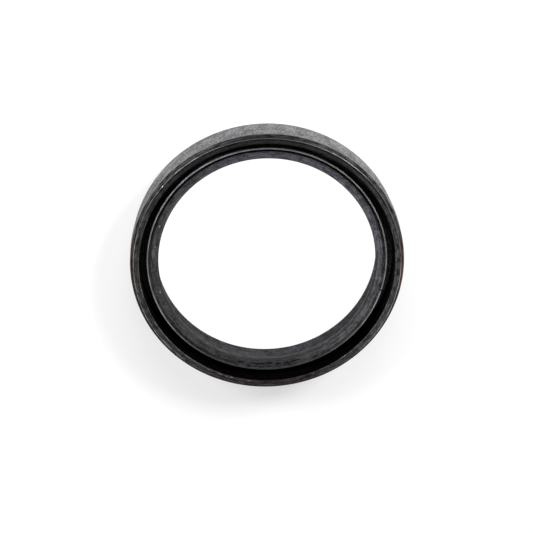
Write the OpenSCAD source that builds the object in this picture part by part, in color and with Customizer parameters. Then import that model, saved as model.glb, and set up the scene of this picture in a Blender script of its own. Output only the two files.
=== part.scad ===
// Rotary shaft seal with a dust lip: one moulded rubber ring, and the garter spring that loads its
// sealing lip. It lies on its back face: Z is the shaft's axis and the grooved oil side faces up.
// The ring's section is one outline of corners, each [radius, height, rounding], turned round Z.

/* [Shaft and housing] */
// Diameter of the shaft that the seal runs on
shaft_d = 42; // [30:0.5:60]
// Height of the section, from the shaft to the housing's bore
section_h = 5; // [5:0.25:8]
// How much larger the outer wall is than the housing's bore, in radius
press_allowance = 0.08; // [0:0.01:0.15]
// Width of the seal along the shaft
seal_w = 8; // [7:0.25:12]

/* [Outer sleeve and flange] */
// Wall of the sleeve at its mouth
sleeve_t = 1.67; // [1.45:0.02:2]
// How much thicker the sleeve is at the flange than at its mouth
sleeve_draft = 0.12; // [0:0.02:0.2]
// Rounding of the sleeve's inner edge at the mouth
mouth_round = 0.12; // [0.05:0.01:0.2]
// Thickness of the flange that closes the back
flange_t = 2; // [1.6:0.1:2.4]
// Rounding where the flange meets the sleeve
floor_fillet = 0.35; // [0.1:0.05:0.4]
// Radial depth of the slow lead-in taper behind the plain outer wall
lead_in_w = 0.31; // [0.1:0.01:0.4]
// Height of that taper's front end, where the plain wall starts, above the back face
lead_in_l = 4.2; // [1.5:0.1:5]
// Radial depth of the small chamfer at the back edge
back_chamfer_w = 0.25; // [0.1:0.05:0.4]
// Length of that chamfer along the axis
back_chamfer_l = 0.4; // [0.2:0.05:1]

/* [Front rim] */
// Depth at which the outer wall starts, below the crest of the bead
front_chamfer_l = 0.85; // [0.75:0.05:1.5]
// Radial width of the front chamfer
front_chamfer_w = 0.3; // [0.1:0.02:0.36]
// Depth of the ledge between the chamfer and the bead
ledge_depth = 0.64; // [0.4:0.02:0.7]
// Width of that ledge
ledge_w = 0.22; // [0.1:0.02:0.3]
// Width of the bead
bead_w = 0.34; // [0.3:0.02:0.44]
// Rounding of the bead's crest
bead_round = 0.15; // [0.05:0.01:0.15]
// Depth of the fine valley inside the bead
valley_depth = 0.18; // [0.12:0.01:0.25]
// Width of that valley, from the bead to the front land
valley_w = 0.14; // [0.05:0.01:0.2]
// Depth of the flat front land below the crest of the bead
land_depth = 0.08; // [0:0.01:0.1]

/* [Sealing lip] */
// How much smaller the free lip is than the shaft, in radius
lip_interference = 0.3; // [0.1:0.05:0.4]
// Length of the land that runs on the shaft
edge_land_l = 0.3; // [0.1:0.05:0.4]
// Radial width of the bevel in front of that land
edge_bevel_w = 0.4; // [0.2:0.05:0.5]
// Depth of that bevel along the axis
edge_bevel_l = 0.2; // [0.1:0.05:0.3]
// Angle between the axis and the cone behind the land
air_angle = 20; // [15:1:25]
// Distance from the crest of the bead back to the front of the lip's toe
toe_setback = 1.88; // [1.5:0.05:2.2]
// Radial width of the raised rim on the toe
toe_rim_w = 0.35; // [0.25:0.05:0.5]
// Height of the raised rim above the recess inside it
toe_rim_rise = 0.27; // [0.1:0.01:0.35]
// How far the lip's face comes forward from that recess to the bevel
face_rise = 0.1; // [0:0.02:0.15]
// Thickness of the toe in front of the spring
toe_t = 0.69; // [0.6:0.05:0.9]
// Rounding of the toe's edges
toe_round = 0.09; // [0.05:0.01:0.12]
// Thickness of the membrane at its root, behind the lip
membrane_t = 0.62; // [0.5:0.05:0.8]
// Rounding where the membrane meets the flange
root_fillet = 0.6; // [0.3:0.05:0.7]

/* [Garter spring] */
// Outer diameter of the spring's coil
coil_d = 1.2; // [1:0.05:1.5]
// Clearance between the coil and its seat
spring_clearance = 0.03; // [0.01:0.01:0.06]
// Rubber between the seat and the cone inside the lip
seat_wall = 0.46; // [0.35:0.02:0.6]
// Angle by which the seat wraps over the back of the coil
seat_wrap = 20; // [5:1:30]
// How far the toe stands out past the coil
toe_cover = 0.28; // [0.2:0.02:0.4]

/* [Dust lip] */
// Radial gap between the dust lip and the shaft
dust_gap = 0.25; // [0.1:0.05:0.4]
// Length of the land at the dust lip's tip
dust_land_l = 0.3; // [0.1:0.05:0.4]
// Thickness of the dust lip at its tip
dust_tip_t = 0.24; // [0.15:0.02:0.35]
// Angle between the axis and the dust lip's inner side
dust_angle = 12; // [8:1:14]
// How far the tip lies inside the back face
dust_recess = 0.1; // [0:0.05:0.2]
// Rounding of the waist between the two lips
waist_round = 1.2; // [0.4:0.1:1.5]
// Depth of the notch that frees the dust lip, from the back face
notch_depth = 1; // [0.7:0.05:1.2]
// Radial width of that notch on the dust lip's side
notch_lip_w = 0.72; // [0.5:0.02:0.9]
// Radial width of that notch on the flange's side
notch_flange_w = 0.55; // [0.3:0.05:0.7]
// Rounding at the bottom of that notch
notch_round = 0.2; // [0.1:0.05:0.25]

/* [Hidden] */

// Facets round the axis and round the coil, and the turn between two points of an arc
ring_facets = 240;
coil_facets = 48;
arc_step = 15;

// Outer sleeve
outer_r = shaft_d / 2 + section_h + press_allowance;
mouth_r = outer_r - sleeve_t;
land_h = seal_w - land_depth;

// Front rim, from the outer wall inwards
ledge_r = outer_r - front_chamfer_w;
ledge_h = seal_w - ledge_depth;
bead_outer_r = ledge_r - ledge_w;
bead_inner_r = bead_outer_r - bead_w;
land_r = bead_inner_r - valley_w;

// Heights of the sealing lip, from its toe to the cone behind its land
toe_h = seal_w - toe_setback;
recess_h = toe_h - toe_rim_rise;
bevel_h = recess_h + face_rise;
edge_h = bevel_h - edge_bevel_l;
cone_h = edge_h - edge_land_l;
edge_r = shaft_d / 2 - lip_interference;

// Garter spring, seated over the cone
coil_r = coil_d / 2;
seat_r = coil_r + spring_clearance;
spring_h = toe_h - toe_t - seat_r;
cone_r_at_spring = edge_r + (cone_h - spring_h) * tan(air_angle);
spring_r = cone_r_at_spring + seat_wall / cos(air_angle) + seat_r;
rim_r = spring_r + coil_r + toe_cover;

// Dust lip: its inner side meets the cone at the waist
tip_r = shaft_d / 2 + dust_gap;
tip_land_h = dust_recess + dust_land_l;
lip_gap = tip_r - edge_r + (cone_h - tip_land_h) * tan(dust_angle);
waist_l = lip_gap / (tan(air_angle) + tan(dust_angle));
waist_r = edge_r + waist_l * tan(air_angle);
root_r = waist_r + membrane_t;
notch_outer_r = tip_r + dust_tip_t + notch_lip_w + notch_flange_w;

// Corners of the front rim: chamfer, ledge, bead, fine valley and land
front_rim = [
    [outer_r, seal_w - front_chamfer_l, 0],
    [ledge_r, ledge_h, 0],
    [bead_outer_r, ledge_h, 0],
    [bead_outer_r, seal_w, bead_round],
    [bead_inner_r, seal_w, bead_round],
    [(bead_inner_r + land_r) / 2, seal_w - valley_depth, 0],
    [land_r, land_h, 0],
];

// Corners of the groove, from the sleeve's mouth to the membrane's shoulder behind the coil
groove = [
    [mouth_r, land_h, mouth_round],
    [mouth_r - sleeve_draft, flange_t, floor_fillet],
    [root_r, flange_t, root_fillet],
];

// Points of the spring's seat, from the shoulder round the coil's inner side to the toe
seat = [for (i = [0 : seat_steps()]) let (a = 270 + seat_wrap - i * (180 + seat_wrap) / seat_steps())
    [spring_r + seat_r * cos(a), spring_h + seat_r * sin(a), 0]];

// Corners of the lip: the toe's rim, the recess inside it, the face, the bevel and the land
lip = [
    [rim_r, toe_h - toe_t, toe_round],
    [rim_r, toe_h, toe_round],
    [rim_r - toe_rim_w, toe_h, toe_round],
    [rim_r - toe_rim_w, recess_h, toe_round],
    [edge_r + edge_bevel_w, bevel_h, 0],
    [edge_r, edge_h, 0],
    [edge_r, cone_h, 0],
];

// Corners of the air side: waist, dust lip, notch, back face, chamfer and lead-in taper
back = [
    [waist_r, cone_h - waist_l, waist_round],
    [tip_r, tip_land_h, 0],
    [tip_r, dust_recess, 0],
    [tip_r + dust_tip_t, dust_recess, 0],
    [notch_outer_r - notch_flange_w, notch_depth, notch_round],
    [notch_outer_r, 0, 0],
    [outer_r - lead_in_w - back_chamfer_w, 0, 0],
    [outer_r - lead_in_w, back_chamfer_l, 0],
    [outer_r, lead_in_l, 0],
];

function seat_steps() = ceil((180 + seat_wrap) / arc_step);
function flat(p) = [p[0], p[1]];
function unit(v) = v / norm(v);

// The arc that rounds corner q between its neighbours p and s, or q itself where it stays sharp
function rounded(p, q, s) =
    q[2] == 0 ? [flat(q)] :
    let (
        u = unit(flat(p - q)),
        v = unit(flat(s - q)),
        half = acos(u * v) / 2,
        c = flat(q) + unit(u + v) * q[2] / sin(half),
        from = flat(q) + u * q[2] / tan(half) - c,
        to = flat(q) + v * q[2] / tan(half) - c,
        a = atan2(from[1], from[0]),
        b = atan2(to[1], to[0]),
        turn = b - a > 180 ? b - a - 360 : b - a < -180 ? b - a + 360 : b - a,
        steps = ceil(abs(turn) / arc_step)
    )
    [for (i = [0 : steps]) let (t = a + turn * i / steps) c + q[2] * [cos(t), sin(t)]];

module section(corners) {
    last = len(corners) - 1;
    polygon([for (i = [0 : last]) each
        rounded(corners[i == 0 ? last : i - 1], corners[i], corners[i == last ? 0 : i + 1])]);
}

module rubber_body() {
    color([0.16, 0.16, 0.17])
        rotate_extrude($fn = ring_facets)
            section(concat(front_rim, groove, seat, lip, back));
}

module garter_spring() {
    color([0.62, 0.62, 0.64])
        translate([0, 0, spring_h])
            rotate_extrude($fn = ring_facets)
                translate([spring_r, 0])
                    circle(r = coil_r, $fn = coil_facets);
}

rubber_body();
garter_spring();
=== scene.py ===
import math

import bpy
from mathutils import Euler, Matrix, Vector


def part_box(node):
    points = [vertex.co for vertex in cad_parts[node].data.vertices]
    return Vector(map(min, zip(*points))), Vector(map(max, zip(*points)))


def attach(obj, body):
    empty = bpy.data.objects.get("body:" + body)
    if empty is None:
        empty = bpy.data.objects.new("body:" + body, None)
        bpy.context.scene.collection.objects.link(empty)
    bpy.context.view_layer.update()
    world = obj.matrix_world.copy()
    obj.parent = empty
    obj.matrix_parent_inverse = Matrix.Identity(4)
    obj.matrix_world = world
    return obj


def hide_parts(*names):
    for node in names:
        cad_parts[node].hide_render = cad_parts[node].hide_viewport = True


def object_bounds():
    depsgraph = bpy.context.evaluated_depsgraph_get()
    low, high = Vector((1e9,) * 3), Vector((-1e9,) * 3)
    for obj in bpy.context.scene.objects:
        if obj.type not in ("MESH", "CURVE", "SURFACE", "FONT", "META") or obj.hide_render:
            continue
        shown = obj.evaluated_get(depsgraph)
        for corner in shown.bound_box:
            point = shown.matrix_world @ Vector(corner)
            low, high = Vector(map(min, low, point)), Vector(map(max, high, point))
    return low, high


# Oil seal lying on its back face, seen from the grooved side. Lengths are in metres unless a name ends in
# Mm, Z is the shaft's axis, and the photograph's upward direction is -Y.
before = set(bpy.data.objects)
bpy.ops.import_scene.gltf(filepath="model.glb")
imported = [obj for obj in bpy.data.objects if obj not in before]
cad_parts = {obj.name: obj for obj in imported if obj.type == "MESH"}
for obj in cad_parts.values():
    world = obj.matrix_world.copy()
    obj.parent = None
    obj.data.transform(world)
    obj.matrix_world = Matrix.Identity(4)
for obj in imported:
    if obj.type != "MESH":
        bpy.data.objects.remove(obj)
cadLow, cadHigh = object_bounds()
frontCentre = Vector((0, 0, cadHigh.z))
mmPerMetre = 1000
mergeDistance = 0.000001
samePlace = 0.0000001
print("frame loaded:", ", ".join(sorted(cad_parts)))


# Small helpers for modelling and materials
def deselectAll():
    if bpy.context.object and bpy.context.object.mode != "OBJECT":
        bpy.ops.object.mode_set(mode="OBJECT")
    bpy.ops.object.select_all(action="DESELECT")


def makeActive(obj):
    deselectAll()
    obj.select_set(True)
    bpy.context.view_layer.objects.active = obj


def applyModifier(obj, kind, **settings):
    makeActive(obj)
    bpy.ops.object.modifier_add(type=kind)
    modifier = obj.modifiers[-1]
    for name, value in settings.items():
        setattr(modifier, name, value)
    bpy.ops.object.modifier_apply(modifier=modifier.name)


def copyOfNode(nodeName, name):
    # the CAD mesh is loose triangles, so the copy is merged before it is worked on
    obj = bpy.data.objects.new(name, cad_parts[nodeName].data.copy())
    bpy.context.scene.collection.objects.link(obj)
    obj.data.materials.clear()
    makeActive(obj)
    bpy.ops.object.mode_set(mode="EDIT")
    bpy.ops.mesh.select_all(action="SELECT")
    bpy.ops.mesh.remove_doubles(threshold=mergeDistance)
    return obj


def pickVerts(obj, test):
    # in edit mode, selects the vertices whose place passes the test
    bpy.ops.mesh.select_mode(type="VERT")
    bpy.ops.mesh.select_all(action="DESELECT")
    bpy.ops.object.mode_set(mode="OBJECT")
    for vert in obj.data.vertices:
        vert.select = test(vert.co)
    bpy.ops.object.mode_set(mode="EDIT")


def pickEdges(obj, test):
    # in edit mode, selects the edges whose two ends pass the test
    bpy.ops.mesh.select_mode(type="EDGE")
    bpy.ops.mesh.select_all(action="DESELECT")
    bpy.ops.object.mode_set(mode="OBJECT")
    verts = obj.data.vertices
    for edge in obj.data.edges:
        edge.select = test(*(verts[i].co for i in edge.vertices))
    bpy.ops.object.mode_set(mode="EDIT")


def newTree(name):
    mat = bpy.data.materials.new(name)
    mat.use_nodes = True
    tree = mat.node_tree
    return mat, tree, tree.nodes["Principled BSDF"]


# Camera, at the photograph's angle: the outer wall shows at the top of the picture
camera = {
    "distance": 0.4748,           # along the view, to the centre of the front
    "aim": (0.000177, 0.000321),  # where that centre lies, right of and above the picture's middle
    "tilt": 23.15,                # degrees off the shaft's axis
    "roll": 174.8,                # degrees round the line of sight
    "lens": 168.9,                # focal length in mm
}


def placeCamera():
    bpy.ops.object.camera_add()
    cam = bpy.context.object
    cam.name = "photoCamera"
    cam.data.lens = camera["lens"]
    cam.rotation_mode = "ZYX"
    cam.rotation_euler = (math.radians(camera["tilt"]), 0, math.radians(camera["roll"]))
    inView = Vector((*camera["aim"], -camera["distance"]))
    turn = Euler(cam.rotation_euler, "ZYX").to_matrix()
    cam.location = frontCentre - turn @ inView
    bpy.context.scene.camera = cam


def towards(turn):
    # the direction at a turn in degrees from the picture's top towards its left
    angle = math.radians(turn + camera["roll"] - 180)
    return Vector((math.sin(angle), -math.cos(angle), 0))


placeCamera()
print("camera placed")

# Floor: pale, with a light table's round window under the ring's opening
floor = {
    "size": 1.2,
    "color": (0.2, 0.2, 0.2),
    "glow": 0.605,
    "windowRadius": 0.0212,
    "windowSides": 96,
    "windowRise": 0.00002,    # above the floor
    "windowColor": (0.02, 0.02, 0.02),
    "windowGlow": 1.03,
    "roughness": 0.9,
}


def stageMaterial(name, color, glow):
    mat, _, shader = newTree(name)
    shader.inputs["Base Color"].default_value = (*color, 1)
    shader.inputs["Roughness"].default_value = floor["roughness"]
    shader.inputs["Emission Color"].default_value = (1, 1, 1, 1)
    shader.inputs["Emission Strength"].default_value = glow
    return mat


def makeFloor():
    bpy.ops.mesh.primitive_plane_add(size=floor["size"], location=(0, 0, 0))
    plane = bpy.context.object
    plane.name = "paleFloor"
    plane.data.materials.append(stageMaterial("paleFloor", floor["color"], floor["glow"]))
    bpy.ops.mesh.primitive_circle_add(vertices=floor["windowSides"], radius=floor["windowRadius"],
                                      fill_type="NGON", location=(0, 0, floor["windowRise"]))
    window = bpy.context.object
    window.name = "lightWindow"
    window.data.materials.append(stageMaterial("lightWindow", floor["windowColor"], floor["windowGlow"]))


makeFloor()

# Each soft box: its turn from the picture's top towards its left and its height over the floor in
# degrees, its size and its watts, and whether it shows in reflections
softBoxes = {
    "topLeftBox": {"turn": 50, "height": 32, "size": 0.2, "power": 4.6, "reflected": True},
    "topRightBox": {"turn": -44, "height": 32, "size": 0.2, "power": 7.0, "reflected": True},
    "topBox": {"turn": -2, "height": 32, "size": 0.35, "power": 3.8, "reflected": False},
}
softBoxDistance = 0.6
roomLight = 0.35


def addSoftBox(name, box):
    bpy.ops.object.light_add(type="AREA")
    lamp = bpy.context.object
    lamp.name = name
    lamp.data.shape = "DISK"
    lamp.data.size = box["size"]
    lamp.data.energy = box["power"]
    height = math.radians(box["height"])
    direction = towards(box["turn"]) * math.cos(height) + Vector((0, 0, math.sin(height)))
    lamp.location = direction * softBoxDistance
    lamp.rotation_mode = "QUATERNION"
    lamp.rotation_quaternion = direction.to_track_quat("Z", "Y")
    lamp.visible_camera = False
    lamp.visible_glossy = box["reflected"]


for boxName, box in softBoxes.items():
    addSoftBox(boxName, box)

room = bpy.data.worlds.new("studio")
bpy.context.scene.world = room
room.use_nodes = True
room.node_tree.nodes["Background"].inputs["Color"].default_value = (1, 1, 1, 1)
room.node_tree.nodes["Background"].inputs["Strength"].default_value = roomLight
bpy.context.scene.view_settings.view_transform = "Standard"
print("floor and lights set")


# Shader helpers
def newGroup(name, inputs, outputs):
    group = bpy.data.node_groups.new(name, "ShaderNodeTree")
    for label, kind, value in inputs:
        socket = group.interface.new_socket(name=label, in_out="INPUT", socket_type=kind)
        if value is not None:
            socket.default_value = value
    for label, kind in outputs:
        group.interface.new_socket(name=label, in_out="OUTPUT", socket_type=kind)
    return group, group.nodes.new("NodeGroupInput"), group.nodes.new("NodeGroupOutput")


def useGroup(tree, group, **values):
    node = tree.nodes.new("ShaderNodeGroup")
    node.node_tree = group
    feed(tree, node, values)
    return node


def connect(tree, value, socket):
    # the value is a plain number, colour or vector, or the output of another node
    if isinstance(value, bpy.types.NodeSocket):
        tree.links.new(value, socket)
    else:
        socket.default_value = value


def feed(tree, node, values):
    # a label such as i1 stands for the socket with that number
    for label, value in values.items():
        numbered = label[0] == "i" and label[1:].isdigit()
        connect(tree, value, node.inputs[int(label[1:]) if numbered else label])


def mathNode(tree, operation, first, second):
    node = tree.nodes.new("ShaderNodeMath")
    node.operation = operation
    feed(tree, node, {"i0": first, "i1": second})
    return node.outputs[0]


def vectorNode(tree, operation, *values):
    node = tree.nodes.new("ShaderNodeVectorMath")
    node.operation = operation
    feed(tree, node, {f"i{number}": value for number, value in enumerate(values)})
    return node


def ramp(tree, value, low, high, toLow=0.0, toHigh=1.0):
    node = tree.nodes.new("ShaderNodeMapRange")
    node.interpolation_type = "SMOOTHSTEP"
    feed(tree, node, {"Value": value, "From Min": low, "From Max": high, "To Min": toLow, "To Max": toHigh})
    return node.outputs["Result"]


def mixColors(tree, amount, first, second, blend="MIX"):
    node = tree.nodes.new("ShaderNodeMix")
    node.data_type = "RGBA"
    node.blend_type = blend
    sockets = [socket for socket in node.inputs if socket.enabled]
    for socket, value in zip(sockets, (amount, first, second)):
        connect(tree, value, socket)
    return next(socket for socket in node.outputs if socket.enabled)


def objectPlace(tree):
    return tree.nodes.new("ShaderNodeTexCoord").outputs["Object"]


def grey(value, red=1.0, green=1.0, blue=1.0):
    return (value * red, value * green, value * blue, 1)


# Shared effect: where a point lies on the ring, as a radius and height in mm and a direction round the axis
def makeRingPlace():
    group, given, result = newGroup(
        "ringPlace",
        [("Place", "NodeSocketVector", None)],
        [("Radius", "NodeSocketFloat"), ("Height", "NodeSocketFloat"), ("Direction", "NodeSocketVector")])
    split = group.nodes.new("ShaderNodeSeparateXYZ")
    feed(group, split, {"i0": given.outputs["Place"]})
    flat = group.nodes.new("ShaderNodeCombineXYZ")
    feed(group, flat, {"X": split.outputs["X"], "Y": split.outputs["Y"]})
    radius = vectorNode(group, "LENGTH", flat.outputs[0]).outputs["Value"]
    feed(group, result, {
        "Radius": mathNode(group, "MULTIPLY", radius, mmPerMetre),
        "Height": mathNode(group, "MULTIPLY", split.outputs["Z"], mmPerMetre),
        "Direction": vectorNode(group, "NORMALIZE", flat.outputs[0]).outputs[0]})
    return group


# Shared effect: fine streaks that run round the ring, as from a turned mould
def makeTurnedStreaks():
    group, given, result = newGroup(
        "turnedStreaks",
        [("Radius", "NodeSocketFloat", 0.0), ("Height", "NodeSocketFloat", 0.0),
         ("Direction", "NodeSocketVector", None), ("Around", "NodeSocketFloat", 12.0),
         ("Across", "NodeSocketFloat", 5.0), ("Low", "NodeSocketFloat", 0.35),
         ("High", "NodeSocketFloat", 0.65)],
        [("Mask", "NodeSocketFloat")])
    around = vectorNode(group, "SCALE", given.outputs["Direction"])
    feed(group, around, {"Scale": given.outputs["Around"]})
    across = group.nodes.new("ShaderNodeCombineXYZ")
    feed(group, across, {
        "Z": mathNode(group, "MULTIPLY", given.outputs["Radius"], given.outputs["Across"])})
    where = vectorNode(group, "ADD", around.outputs[0], across.outputs[0])
    noise = group.nodes.new("ShaderNodeTexNoise")
    noise.noise_dimensions = "4D"
    feed(group, noise, {
        "Vector": where.outputs[0], "Scale": 1.0, "Detail": 3.0, "Roughness": 0.6,
        "W": mathNode(group, "MULTIPLY", given.outputs["Height"], given.outputs["Across"])})
    feed(group, result, {
        "Mask": ramp(group, noise.outputs["Fac"], given.outputs["Low"], given.outputs["High"])})
    return group


# Shared effect: the cloudy mottle of moulded rubber, with a finer speckle in it. The limits are the
# noise values that come out as 0 and as 1.
cloudLimits = (0.35, 0.65)
speckleLimits = (0.4, 0.62)


def makeRubberMottle():
    group, given, result = newGroup(
        "rubberMottle",
        [("Place", "NodeSocketVector", None), ("Cloud Scale", "NodeSocketFloat", 900.0),
         ("Speckle Scale", "NodeSocketFloat", 4000.0), ("Speckle", "NodeSocketFloat", 0.5)],
        [("Mottle", "NodeSocketFloat")])
    cloud = group.nodes.new("ShaderNodeTexNoise")
    feed(group, cloud, {"Vector": given.outputs["Place"], "Scale": given.outputs["Cloud Scale"],
                        "Detail": 3.0, "Roughness": 0.55})
    speckle = group.nodes.new("ShaderNodeTexNoise")
    feed(group, speckle, {"Vector": given.outputs["Place"], "Scale": given.outputs["Speckle Scale"],
                          "Detail": 2.0, "Roughness": 0.6})
    softCloud = ramp(group, cloud.outputs["Fac"], *cloudLimits)
    sharpSpeckle = ramp(group, speckle.outputs["Fac"], *speckleLimits)
    speckleShare = mathNode(group, "MULTIPLY", sharpSpeckle, given.outputs["Speckle"])
    both = mathNode(group, "ADD", softCloud, speckleShare)
    whole = mathNode(group, "ADD", given.outputs["Speckle"], 1.0)
    feed(group, result, {"Mottle": mathNode(group, "DIVIDE", both, whole)})
    return group


# Shared effect: one soft spot, as long round the ring and as wide across it as is asked for. It fades
# between the two limits, which are shares of its size, and its outline can be roughened by noise.
spotFade = (1.0, 0.4)
raggedScale = 5000.0


def makeSpot():
    group, given, result = newGroup(
        "spot",
        [("Place", "NodeSocketVector", None), ("Centre", "NodeSocketVector", (0, 0, 0)),
         ("Turn", "NodeSocketFloat", 0.0), ("Length", "NodeSocketFloat", 0.001),
         ("Width", "NodeSocketFloat", 0.0003), ("Roughened", "NodeSocketFloat", 0.0)],
        [("Mask", "NodeSocketFloat")])
    apart = vectorNode(group, "SUBTRACT", given.outputs["Place"], given.outputs["Centre"])
    turned = group.nodes.new("ShaderNodeVectorRotate")
    turned.rotation_type = "Z_AXIS"
    feed(group, turned, {"Vector": apart.outputs[0], "Angle": given.outputs["Turn"]})
    split = group.nodes.new("ShaderNodeSeparateXYZ")
    feed(group, split, {"i0": turned.outputs[0]})
    scaled = group.nodes.new("ShaderNodeCombineXYZ")
    for axis, size in (("X", "Width"), ("Y", "Length"), ("Z", "Width")):
        feed(group, scaled, {axis: mathNode(group, "DIVIDE", split.outputs[axis], given.outputs[size])})
    distance = vectorNode(group, "LENGTH", scaled.outputs[0]).outputs["Value"]
    noise = group.nodes.new("ShaderNodeTexNoise")
    feed(group, noise, {"Vector": given.outputs["Place"], "Scale": raggedScale, "Detail": 2.0})
    wander = mathNode(group, "SUBTRACT", noise.outputs["Fac"], 0.5)
    ragged = mathNode(group, "MULTIPLY", wander, given.outputs["Roughened"])
    feed(group, result, {
        "Mask": ramp(group, mathNode(group, "ADD", distance, ragged), *spotFade)})
    return group


# Shared effect: a few tiny specks of dust
def makeDustSpecks():
    group, given, result = newGroup(
        "dustSpecks",
        [("Place", "NodeSocketVector", None), ("Scale", "NodeSocketFloat", 1300.0),
         ("Share", "NodeSocketFloat", 0.05), ("Size", "NodeSocketFloat", 0.12)],
        [("Mask", "NodeSocketFloat")])
    cells = group.nodes.new("ShaderNodeTexVoronoi")
    feed(group, cells, {
        "Vector": given.outputs["Place"], "Scale": given.outputs["Scale"], "Randomness": 1.0})
    picked = group.nodes.new("ShaderNodeSeparateColor")
    feed(group, picked, {"i0": cells.outputs["Color"]})
    chosen = mathNode(group, "LESS_THAN", picked.outputs[0], given.outputs["Share"])
    reach = mathNode(group, "MULTIPLY", given.outputs["Size"], picked.outputs[1])
    near = mathNode(group, "LESS_THAN", cells.outputs["Distance"], reach)
    feed(group, result, {"Mask": mathNode(group, "MULTIPLY", chosen, near)})
    return group


ringPlace = makeRingPlace()
turnedStreaks = makeTurnedStreaks()
rubberMottle = makeRubberMottle()
spot = makeSpot()
dustSpecks = makeDustSpecks()


def bumpNormal(tree, height, depth):
    bump = tree.nodes.new("ShaderNodeBump")
    feed(tree, bump, {"Height": height, "Distance": depth, "Strength": 1.0})
    return bump.outputs["Normal"]


def addSpots(tree, place, color, spotColor, spots):
    # lays each spot over the colour
    for entry in spots:
        out = towards(entry["turn"])
        centre = out * entry["radiusMm"] / mmPerMetre + Vector((0, 0, entry["heightMm"] / mmPerMetre))
        mark = useGroup(tree, spot, **{
            "Place": place, "Centre": centre, "Turn": math.atan2(-out.y, out.x),
            "Length": entry["length"], "Width": entry["width"], "Roughened": entry.get("ragged", 0.0)})
        amount = mathNode(tree, "MULTIPLY", mark.outputs["Mask"], entry["strength"])
        color = mixColors(tree, amount, color, spotColor)
    return color


# Rubber ring: the CAD ring's own section, its edges eased, turned again in finer steps
rubber = {
    "steps": 384,             # faces round the ring
    "edgeLength": 0.00030,    # an edge of the section is divided where it is over twice this long
    "straightTurn": 0.01,     # radians: a point is dropped where the outline turns by less
    "sharpTurn": 28,          # degrees: an edge is eased where the outline turns by more
    "edgeEase": 0.00004,      # how far a sharp edge is eased
    "easeSegments": 3,
    "smoothAngle": 30,        # degrees: faces shade as one where they meet at less
    "streaksAround": 14.0,    # how fine the streaks are round the ring
    "streaksAcross": 6.0,     # and across it
    "patternLimits": (0.15, 0.85),  # pattern values at which a finish is all dark and all light
}


def sectionOf(obj):
    # keeps the outline where the XZ plane cuts the ring, on the +X side
    bpy.ops.mesh.select_all(action="SELECT")
    bpy.ops.mesh.bisect(plane_co=(0, 0, 0), plane_no=(0, 1, 0), clear_inner=True, clear_outer=True,
                        threshold=samePlace)
    pickVerts(obj, lambda place: place.x < 0)
    bpy.ops.mesh.delete(type="VERT")
    bpy.ops.mesh.select_all(action="SELECT")
    bpy.ops.mesh.dissolve_limited(angle_limit=rubber["straightTurn"])


def turnAtVerts(obj):
    # the angle in degrees by which the outline turns at each of its vertices
    bpy.ops.object.mode_set(mode="OBJECT")
    verts = obj.data.vertices
    near = {vert.index: [] for vert in verts}
    for edge in obj.data.edges:
        a, b = edge.vertices
        near[a].append(verts[b].co)
        near[b].append(verts[a].co)
    turns = {}
    for vert in verts:
        before, after = (place - vert.co for place in near[vert.index])
        turns[vert.index] = 180 - math.degrees(before.angle(after))
    bpy.ops.object.mode_set(mode="EDIT")
    return turns


def easeSharpEdges(obj):
    turns = turnAtVerts(obj)
    sharp = [obj.data.vertices[i].co.copy() for i, turn in turns.items() if turn > rubber["sharpTurn"]]
    pickVerts(obj, lambda place: any((place - corner).length < samePlace for corner in sharp))
    bpy.ops.mesh.bevel(affect="VERTICES", offset=rubber["edgeEase"], segments=rubber["easeSegments"],
                       clamp_overlap=True)
    return len(sharp)


def divideLongEdges(obj, length):
    for cuts in (15, 7, 3, 1):
        pickEdges(obj, lambda a, b: (a - b).length > length * (cuts + 1))
        bpy.ops.mesh.subdivide(number_cuts=cuts)
    bpy.ops.mesh.select_mode(type="VERT")


def makeRubberRing():
    obj = copyOfNode("rubber_body", "rubberRing")
    sectionOf(obj)
    eased = easeSharpEdges(obj)
    divideLongEdges(obj, rubber["edgeLength"])
    print("section:", len(obj.data.vertices), "points,", eased, "edges eased")
    bpy.ops.mesh.select_all(action="SELECT")
    bpy.ops.mesh.spin(steps=rubber["steps"], angle=2 * math.pi, center=(0, 0, 0), axis=(0, 0, 1))
    bpy.ops.mesh.select_all(action="SELECT")
    bpy.ops.mesh.remove_doubles(threshold=mergeDistance)
    bpy.ops.mesh.normals_make_consistent(inside=False)
    bpy.ops.object.mode_set(mode="OBJECT")
    bpy.ops.object.shade_smooth_by_angle(angle=math.radians(rubber["smoothAngle"]))
    return obj


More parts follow.
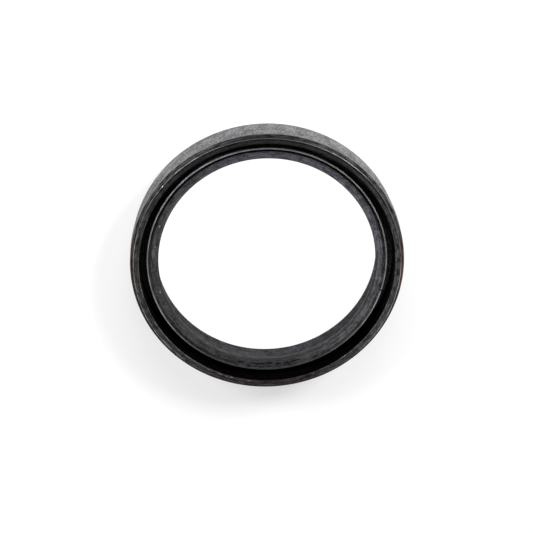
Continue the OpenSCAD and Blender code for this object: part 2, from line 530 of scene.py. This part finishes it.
# Finishes of the rubber. Each is a dark and a light colour, mixed by mottle and turned streaks: "streaky"
# is the streaks' share, "cloud" and "speckleSize" are the mottle's noise scales, "speckle" is how much the
# speckle counts, "roughness" is the least and the greatest, "gloss" the specular level, and "grain" the
# depth of the relief. The side tints are painted light and shade: each makes the colour lighter or darker
# towards one side, which is its bottom in the picture or the turn that "side" gives, standing in for how
# the light falls round the ring, and a few also warm or cool its hue. A tint starts and ends at a share of
# the way from -1, on the far side, to 1. "marks" and "scuffs" are spots of one colour each, and "dust" is
# the share of specks. Turns are in degrees from the picture's top towards its left.
violet = (1, 0.98, 1.15)
warm = (1.14, 1, 0.88)
dustColor = grey(0.09)
rubberFinishes = {
    "groundWall": {
        "dark": grey(0.012, 1, 0.97, 1.02), "light": grey(0.066, 1, 0.98, 1.06), "streaky": 0.15,
        "cloud": 420, "speckleSize": 2900, "speckle": 1.6,
        "roughness": (0.36, 0.66), "gloss": 0.66, "grain": 0.00007,
    },
    # the wall's front edge is a lighter band than the wall, a painted highlight along that edge, halved at
    # the top
    "wallEdge": {
        "dark": grey(0.03, 1, 0.98, 1.04), "light": grey(0.085, 1, 0.98, 1.06), "streaky": 0.4,
        "cloud": 800, "speckleSize": 3300, "speckle": 1.2,
        "roughness": (0.4, 0.6), "gloss": 0.5, "grain": 0.00002,
        "paintedShading": [{"start": -0.8, "end": -1.0, "tint": grey(0.5)}],
    },
    # the chamfer's tints are painted shade: darker at the top and much darker at the bottom, with brown
    # tints at the far left and right
    "frontChamfer": {
        "dark": grey(0.004), "light": grey(0.037), "streaky": 0.7,
        "cloud": 700, "speckleSize": 3500, "speckle": 0.8,
        "roughness": (0.5, 0.7), "gloss": 0.0, "grain": 0.00001,
        "paintedShading": [
            {"start": -0.92, "end": -1.0, "tint": grey(0.38)},
            {"start": -0.6, "end": 0.2, "tint": grey(1, *warm)},
            {"start": 0.2, "end": 1.0, "tint": grey(0.11)},
            {"side": -93, "start": 0.95, "end": 1.0, "tint": (1.22, 0.82, 0.67, 1)},
            {"side": 98, "start": 0.9, "end": 1.0, "tint": (1.15, 0.9, 0.8, 1)},
        ],
    },
    # the bead is painted much lighter than the land, partly a rubbed lighter edge and partly a painted
    # highlight; its side tints darken it at the top, the bottom and beyond the highlights
    "frontBead": {
        "dark": grey(0.045), "light": grey(0.17), "streaky": 0.6,
        "cloud": 700, "speckleSize": 3500, "speckle": 0.8,
        "roughness": (0.48, 0.6), "gloss": 0.7, "grain": 0.000004,
        "paintedShading": [
            {"start": 0.5, "end": 1.0, "tint": grey(0.03, *warm)},
            {"start": -0.1, "end": -0.5, "tint": grey(0.7)},
            {"side": 61, "start": 0.92, "end": 0.98, "tint": grey(0.3)},
            {"side": -68, "start": 0.88, "end": 0.97, "tint": grey(0.2)},
            {"start": -0.75, "end": -1.0, "tint": grey(0.04)},
        ],
        "marks": [
            {"turn": 51, "radiusMm": 25.47, "heightMm": 7.95, "length": 0.00026, "width": 0.0002,
             "strength": 1.0},
            {"turn": 54.7, "radiusMm": 25.5, "heightMm": 7.92, "length": 0.0009, "width": 0.00008,
             "strength": 0.6, "ragged": 0.8},
        ],
        "markColor": grey(0.4),
    },
    # the valley inside the bead is tinted darker at the top and at the bottom, painted shade in the crease,
    # and kept lighter at the sides
    "frontValley": {
        "dark": grey(0.004), "light": grey(0.045), "streaky": 0.5,
        "cloud": 900, "speckleSize": 3800, "speckle": 1.0,
        "roughness": (0.45, 0.65), "gloss": 0.05, "grain": 0.00001,
        "paintedShading": [
            {"start": -0.1, "end": -0.8, "tint": grey(0.2)},
            {"start": 0.6, "end": 1.0, "tint": (0.42, 0.33, 0.32, 1)},
        ],
    },
    # the land's tints are painted shade and light: darker at the top, lighter on the right, darker and
    # redder at the bottom
    "frontLand": {
        "dark": grey(0.0), "light": grey(0.02, 1.02, 0.99, 1), "streaky": 0.55,
        "cloud": 900, "speckleSize": 3800, "speckle": 1.2,
        "roughness": (0.45, 0.65), "gloss": 0.18, "grain": 0.00001,
        "paintedShading": [
            {"start": -0.3, "end": -0.9, "tint": grey(0.45)},
            {"side": -90, "start": 0.3, "end": 1.0, "tint": grey(1.5)},
            {"start": 0.7, "end": 1.0, "tint": (0.9, 0.6, 0.65, 1)},
        ],
        "dust": 0.02,
        "marks": [
            {"turn": 152.6, "radiusMm": 24.62, "heightMm": 7.92, "length": 0.0005, "width": 0.00009,
             "strength": 0.6, "ragged": 0.6},
            {"turn": 158.7, "radiusMm": 24.6, "heightMm": 7.92, "length": 0.0006, "width": 0.0001,
             "strength": 0.9, "ragged": 0.6},
            {"turn": 161.6, "radiusMm": 24.62, "heightMm": 7.92, "length": 0.0004, "width": 0.0001,
             "strength": 0.8, "ragged": 0.6},
            {"turn": 164, "radiusMm": 24.6, "heightMm": 7.92, "length": 0.0005, "width": 0.0001,
             "strength": 0.9, "ragged": 0.6},
            {"turn": 172, "radiusMm": 24.6, "heightMm": 7.92, "length": 0.0008, "width": 0.00009,
             "strength": 0.6, "ragged": 0.9},
        ],
        "markColor": grey(0.09),
    },
    # the mouth's edge is painted lighter than the land, a painted highlight along it, which its tints keep
    # to the sides
    "mouthEdge": {
        "dark": grey(0.008), "light": grey(0.06, 1.02, 0.99, 1), "streaky": 0.5,
        "cloud": 900, "speckleSize": 3800, "speckle": 1.0,
        "roughness": (0.45, 0.65), "gloss": 0.12, "grain": 0.00001,
        "paintedShading": [
            {"start": -0.1, "end": -0.7, "tint": grey(0.1)},
            {"start": 0.75, "end": 1.0, "tint": grey(0.1)},
        ],
    },
    # the groove's outer wall is painted near black, painted shade in the deep groove, and darker still
    # towards the bottom
    "grooveWall": {
        "dark": grey(0.004), "light": grey(0.008), "streaky": 0.0,
        "cloud": 900, "speckleSize": 3800, "speckle": 0.5,
        "roughness": (0.6, 0.7), "gloss": 0.0, "grain": 0.00001,
        "paintedShading": [{"start": -0.3, "end": 0.6, "tint": grey(0.09)}],
    },
    # the toe's side and the groove are painted much lighter than the rubber, painted light that stands in
    # for light reaching into the deep groove near the top; their tints darken them elsewhere
    "toeSide": {
        "dark": grey(0.06), "light": grey(0.1), "streaky": 0.0,
        "cloud": 900, "speckleSize": 3800, "speckle": 0.5,
        "roughness": (0.6, 0.7), "gloss": 0.0, "grain": 0.00001,
        "paintedShading": [{"start": -0.9, "end": 0.2, "tint": grey(0.25)}],
    },
    # painted light in the groove: lighter near the top and on the right, darker elsewhere
    "groove": {
        "dark": grey(0.07), "light": grey(0.11), "streaky": 0.0,
        "cloud": 900, "speckleSize": 3800, "speckle": 0.5,
        "roughness": (0.6, 0.7), "gloss": 0.0, "grain": 0.00001,
        "paintedShading": [
            {"start": -0.98, "end": -0.75, "tint": grey(0.14)},
            {"side": -90, "start": 0.55, "end": 1.0, "tint": grey(3)},
            {"start": 0.2, "end": 0.8, "tint": grey(0.1)},
        ],
    },
    # the lip's rim is painted light grey, partly a lighter trimmed edge and partly a painted highlight; its
    # tints dim it towards the sides and further towards the bottom
    "lipRim": {
        "dark": grey(0.10), "light": grey(0.215), "streaky": 0.4,
        "cloud": 700, "speckleSize": 3500, "speckle": 0.6,
        "roughness": (0.25, 0.4), "gloss": 0.9, "grain": 0.000004,
        "paintedShading": [
            {"start": -0.8, "end": -1.0, "tint": grey(0.9)},
            {"start": -0.72, "end": -0.1, "tint": grey(0.6)},
            {"start": 0.4, "end": 1.0, "tint": grey(0.1)},
        ],
        "marks": [
            {"turn": -106, "radiusMm": 22.87, "heightMm": 6.1, "length": 0.0003, "width": 0.0004,
             "strength": 1.0},
        ],
        "markColor": grey(0.001),
    },
    # the recess inside the lip's rim is painted nearly black over the top half, a painted shadow of the
    # rim, and darker on the other sides too
    "lipRecess": {
        "dark": grey(0.012), "light": grey(0.06, *violet), "streaky": 0.3,
        "cloud": 600, "speckleSize": 3500, "speckle": 1.0,
        "roughness": (0.5, 0.65), "gloss": 0.05, "grain": 0.00001,
        "paintedShading": [
            {"start": 0.3, "end": -0.6, "tint": grey(0.014)},
            {"start": 0.1, "end": 0.8, "tint": grey(0.32)},
            {"side": 90, "start": 0.0, "end": 0.8, "tint": grey(0.4)},
            {"side": -90, "start": 0.5, "end": 1.0, "tint": grey(0.65)},
        ],
    },
    # the lip face's tints are painted shade and light: bluer at the top, warmer and then darker towards the
    # bottom, much lighter on the right, a little yellower on the left
    "lipFace": {
        "dark": grey(0.007), "light": grey(0.033, *violet), "streaky": 0.5,
        "cloud": 600, "speckleSize": 3500, "speckle": 1.0,
        "roughness": (0.45, 0.65), "gloss": 0.15, "grain": 0.00001,
        "paintedShading": [
            {"start": -0.5, "end": -1.0, "tint": (1, 1, 1.12, 1)},
            {"start": -0.2, "end": 0.9, "tint": (1, 0.99, 0.91, 1)},
            {"start": 0.75, "end": 1.0, "tint": grey(0.6)},
            {"side": -90, "start": -0.7, "end": 1.0, "tint": grey(1.75)},
            {"side": 90, "start": 0.2, "end": 0.9, "tint": (0.97, 0.98, 0.9, 1)},
        ],
        "dust": 0.04,
        "marks": [
            {"turn": 70.6, "radiusMm": 21.63, "heightMm": 5.91, "length": 0.0003, "width": 0.0002,
             "strength": 0.8},
            {"turn": 82, "radiusMm": 21.5, "heightMm": 5.92, "length": 0.00025, "width": 0.0002,
             "strength": 0.5},
            {"turn": 86, "radiusMm": 21.72, "heightMm": 5.91, "length": 0.0011, "width": 0.0004,
             "strength": 0.2, "ragged": 1.0},
            {"turn": 107.5, "radiusMm": 21.41, "heightMm": 5.93, "length": 0.0003, "width": 0.00025,
             "strength": 0.5, "ragged": 0.6},
        ],
        "markColor": grey(0.14),
        "scuffs": [
            {"turn": 166.7, "radiusMm": 21.85, "heightMm": 5.9, "length": 0.0009, "width": 0.0003,
             "strength": 1.0, "ragged": 0.6},
            {"turn": 175.5, "radiusMm": 21.74, "heightMm": 5.91, "length": 0.0023, "width": 0.00024,
             "strength": 1.0, "ragged": 0.4},
            {"turn": -178.1, "radiusMm": 21.6, "heightMm": 5.91, "length": 0.0009, "width": 0.00028,
             "strength": 1.0, "ragged": 0.9},
            {"turn": -174, "radiusMm": 21.86, "heightMm": 5.9, "length": 0.0010, "width": 0.00036,
             "strength": 1.0, "ragged": 0.9},
            {"turn": -169.4, "radiusMm": 21.84, "heightMm": 5.9, "length": 0.0008, "width": 0.0003,
             "strength": 1.0, "ragged": 0.9},
            {"turn": -165, "radiusMm": 21.81, "heightMm": 5.9, "length": 0.0015, "width": 0.00026,
             "strength": 1.0, "ragged": 0.8},
        ],
        "scuffColor": grey(0.0),
    },
    # the edge's tints are painted shade and light: darker except at the top, darker still at the bottom,
    # lighter on the right
    "lipEdge": {
        "dark": grey(0.014), "light": grey(0.062, *violet), "streaky": 0.5,
        "cloud": 600, "speckleSize": 3500, "speckle": 1.0,
        "roughness": (0.4, 0.6), "gloss": 0.2, "grain": 0.00001,
        "paintedShading": [
            {"start": -0.9, "end": 0.4, "tint": grey(0.22)},
            {"start": 0.5, "end": 1.0, "tint": grey(0.4)},
            {"side": -90, "start": -0.5, "end": 1.0, "tint": grey(1.5)},
        ],
    },
    "airSide": {
        "dark": grey(0.003), "light": grey(0.018, *violet), "streaky": 0.5,
        "cloud": 600, "speckleSize": 3500, "speckle": 0.8,
        "roughness": (0.5, 0.65), "gloss": 0.1, "grain": 0.00001,
    },
}

# Zones of the section, in mm: a face takes the first finish whose test its middle passes
finishZones = [
    ("airSide", lambda r, h: h < 0.45 or (r < 22.2 and h < 5.44)),
    ("groundWall", lambda r, h: r > 25.7 and h < 6.9),
    ("wallEdge", lambda r, h: r > 25.7 and h < 7.16),
    ("frontChamfer", lambda r, h: r > 25.51 and h > 7.1),
    ("frontBead", lambda r, h: r > 25.4 and h > 7.9),
    ("frontValley", lambda r, h: r > 25.03 and h > 7.6),
    ("frontLand", lambda r, h: r > 24.56 and h > 7.6),
    ("mouthEdge", lambda r, h: r > 24.4 and h > 7.75),
    ("lipRim", lambda r, h: 22.70 < r < 22.95 and h > 5.95),
    ("lipEdge", lambda r, h: r < 21.12 and h > 5.43),
    ("lipFace", lambda r, h: r < 22.2 and h > 5.43),
    ("lipRecess", lambda r, h: r < 22.71 and h > 5.43),
    ("grooveWall", lambda r, h: r > 23.9 and h > 2.3),
    ("toeSide", lambda r, h: 22.9 < r < 22.95 and h > 5.4),
    ("groove", lambda r, h: True),
]


# painted light and shade: multiplies a colour by a tint that grows towards one side of the ring
def paintShadingOnOneSide(tree, color, direction, paintedShading):
    share = vectorNode(tree, "DOT_PRODUCT", direction, towards(paintedShading.get("side", 180)))
    amount = ramp(tree, share.outputs["Value"], paintedShading["start"], paintedShading["end"])
    return mixColors(tree, amount, color, paintedShading["tint"], "MULTIPLY")


def makeFinish(name, finish):
    mat, tree, shader = newTree(name)
    shader.inputs["Specular IOR Level"].default_value = finish["gloss"]
    place = objectPlace(tree)
    where = useGroup(tree, ringPlace, Place=place)
    mottle = useGroup(tree, rubberMottle, **{
        "Place": place, "Cloud Scale": finish["cloud"], "Speckle Scale": finish["speckleSize"],
        "Speckle": finish["speckle"]})
    streaks = useGroup(tree, turnedStreaks, Radius=where.outputs["Radius"], Height=where.outputs["Height"],
                       Direction=where.outputs["Direction"], Around=rubber["streaksAround"],
                       Across=rubber["streaksAcross"])
    share = finish["streaky"]
    pattern = mathNode(tree, "ADD", mathNode(tree, "MULTIPLY", mottle.outputs["Mottle"], 1 - share),
                       mathNode(tree, "MULTIPLY", streaks.outputs["Mask"], share))
    strong = ramp(tree, pattern, *rubber["patternLimits"])
    color = mixColors(tree, strong, finish["dark"], finish["light"])
    # painted light and shade: each side tint makes the colour lighter or darker towards one side
    for paintedShading in finish.get("paintedShading", []):
        color = paintShadingOnOneSide(tree, color, where.outputs["Direction"], paintedShading)
    color = addSpots(tree, place, color, finish.get("scuffColor"), finish.get("scuffs", []))
    color = addSpots(tree, place, color, finish.get("markColor"), finish.get("marks", []))
    if "dust" in finish:
        dust = useGroup(tree, dustSpecks, Place=place, Share=finish["dust"])
        color = mixColors(tree, dust.outputs["Mask"], color, dustColor)
    low, high = finish["roughness"]
    feed(tree, shader, {
        "Base Color": color, "Roughness": ramp(tree, strong, 0.0, 1.0, high, low),
        "Normal": bumpNormal(tree, pattern, finish["grain"])})
    return mat


def dressRing(obj):
    for name, _ in finishZones:
        obj.data.materials.append(makeFinish(name, rubberFinishes[name]))
    for face in obj.data.polygons:
        radius = math.hypot(face.center.x, face.center.y) * mmPerMetre
        height = face.center.z * mmPerMetre
        face.material_index = next(i for i, (_, test) in enumerate(finishZones) if test(radius, height))


rubberRing = makeRubberRing()
dressRing(rubberRing)
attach(rubberRing, "root")
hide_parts("rubber_body")
print("rubber ring:", len(rubberRing.data.polygons), "faces")

# Garter spring: wire wound into a straight coil, which is then bent round the lip and joined end to end
spring = {
    "wire": 0.00025,          # diameter of the wire
    "pitchInWires": 1.04,     # distance between turns, in wire diameters
    "stepsPerTurn": 12,
    "wireSides": 6,
    "joinDistance": 0.000002,  # points this close are merged where the ends of the coil meet
    "steel": grey(0.55, 1, 1, 1.03),
    "darkSteel": grey(0.28, 1, 1, 1.02),
    "roughness": 0.35,
}


def windStraightCoil(coilRadius, length):
    turns = round(length / (spring["wire"] * spring["pitchInWires"]))
    deselectAll()
    bpy.ops.mesh.primitive_circle_add(vertices=spring["wireSides"], radius=spring["wire"] / 2,
                                      location=(0, 0, coilRadius - spring["wire"] / 2),
                                      rotation=(math.pi / 2, 0, 0))
    obj = bpy.context.object
    obj.name = "garterSpring"
    bpy.ops.object.transform_apply(location=True, rotation=True, scale=True)
    applyModifier(obj, "SCREW", axis="X", angle=2 * math.pi, screw_offset=length / turns, iterations=turns,
                  steps=spring["stepsPerTurn"], render_steps=spring["stepsPerTurn"],
                  use_merge_vertices=False)
    print("spring coil:", turns, "turns")
    return obj


def makeGarterSpring():
    low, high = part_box("garter_spring")
    coilRadius = (high[2] - low[2]) / 2
    ringRadius = high[0] - coilRadius
    length = 2 * math.pi * ringRadius
    obj = windStraightCoil(coilRadius, length)
    # the bend runs over the coil and the thickness of the wire at its ends
    applyModifier(obj, "SIMPLE_DEFORM", deform_method="BEND", deform_axis="Z",
                  angle=2 * math.pi * (length + spring["wire"]) / length)
    bpy.ops.object.mode_set(mode="EDIT")
    bpy.ops.mesh.select_all(action="SELECT")
    bpy.ops.mesh.remove_doubles(threshold=spring["joinDistance"])
    bpy.ops.mesh.normals_make_consistent(inside=False)
    bpy.ops.object.mode_set(mode="OBJECT")
    obj.location = (0, -ringRadius, (low[2] + high[2]) / 2)
    bpy.ops.object.transform_apply(location=True, rotation=False, scale=False)
    bpy.ops.object.shade_smooth()
    return obj


def makeSpringSteel():
    mat, tree, shader = newTree("drawnSteel")
    shader.inputs["Metallic"].default_value = 1
    shader.inputs["Roughness"].default_value = spring["roughness"]
    mottle = useGroup(tree, rubberMottle, Place=objectPlace(tree))
    feed(tree, shader, {
        "Base Color": mixColors(tree, mottle.outputs["Mottle"], spring["darkSteel"], spring["steel"])})
    return mat


garterSpring = makeGarterSpring()
garterSpring.data.materials.append(makeSpringSteel())
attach(garterSpring, "root")
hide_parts("garter_spring")
print("garter spring:", len(garterSpring.data.polygons), "faces")
